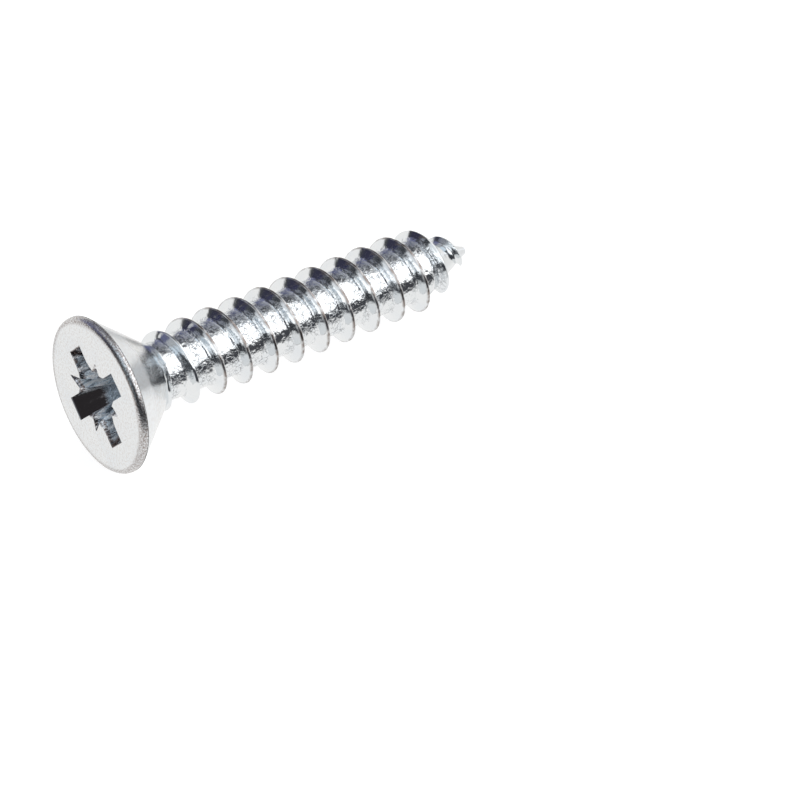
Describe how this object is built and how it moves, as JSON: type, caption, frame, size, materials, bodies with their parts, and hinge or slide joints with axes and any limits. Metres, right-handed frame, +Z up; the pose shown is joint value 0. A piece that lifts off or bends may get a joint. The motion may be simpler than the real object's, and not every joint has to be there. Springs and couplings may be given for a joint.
{
  "type": "wood screw",
  "caption": "Countersunk wood screw with a ribbed cross recess, a short neck, a sharp thread along the whole shank and a gimlet point, bright zinc plated.",
  "frame": {"origin": "centre of the flat face of the head, on the screw's axis", "axes": "+X out of the head along the axis, towards the driver; the point is at -X; +Z up, with the screw lying on its side"},
  "size_m": [0.0188, 0.0068, 0.0068],
  "materials": {
    "zinc_plated_steel": "bright bluish zinc plating on cold-formed steel, smooth on the cone and thread flanks, finely grained on the head face"
  },
  "bodies": {
    "root": {"screw": "zinc_plated_steel"}
  },
  "joints": []
}
